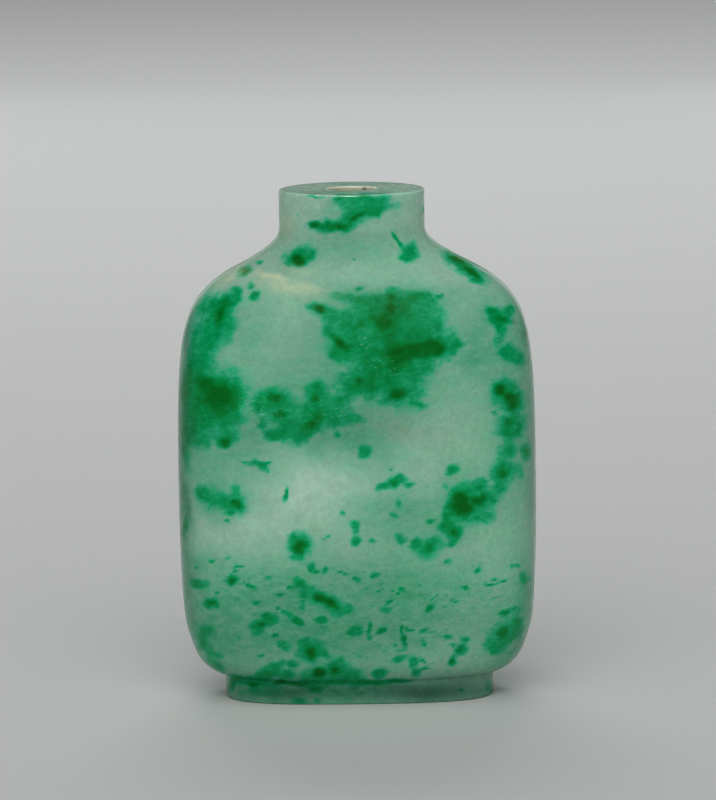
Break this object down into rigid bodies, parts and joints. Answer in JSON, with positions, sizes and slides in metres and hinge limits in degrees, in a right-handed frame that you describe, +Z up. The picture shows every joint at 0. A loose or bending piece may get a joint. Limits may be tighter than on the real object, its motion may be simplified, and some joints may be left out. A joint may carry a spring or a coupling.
{
  "type": "snuff bottle",
  "caption": "Flattened snuff bottle carved from mottled green jadeite, with a short round neck, a small open mouth, a hollow inside and a low oval foot.",
  "frame": {"origin": "middle of the underside, on the plane the foot rim stands on, under the middle of the body", "axes": "+X across the bottle's width to the right as seen from the front, +Y from the broad front face to the back face, +Z up through the neck"},
  "size_m": [0.0458, 0.0264, 0.065],
  "materials": {
    "jadeite": "polished"
  },
  "bodies": {
    "root": {"bottle": "jadeite"}
  },
  "joints": []
}
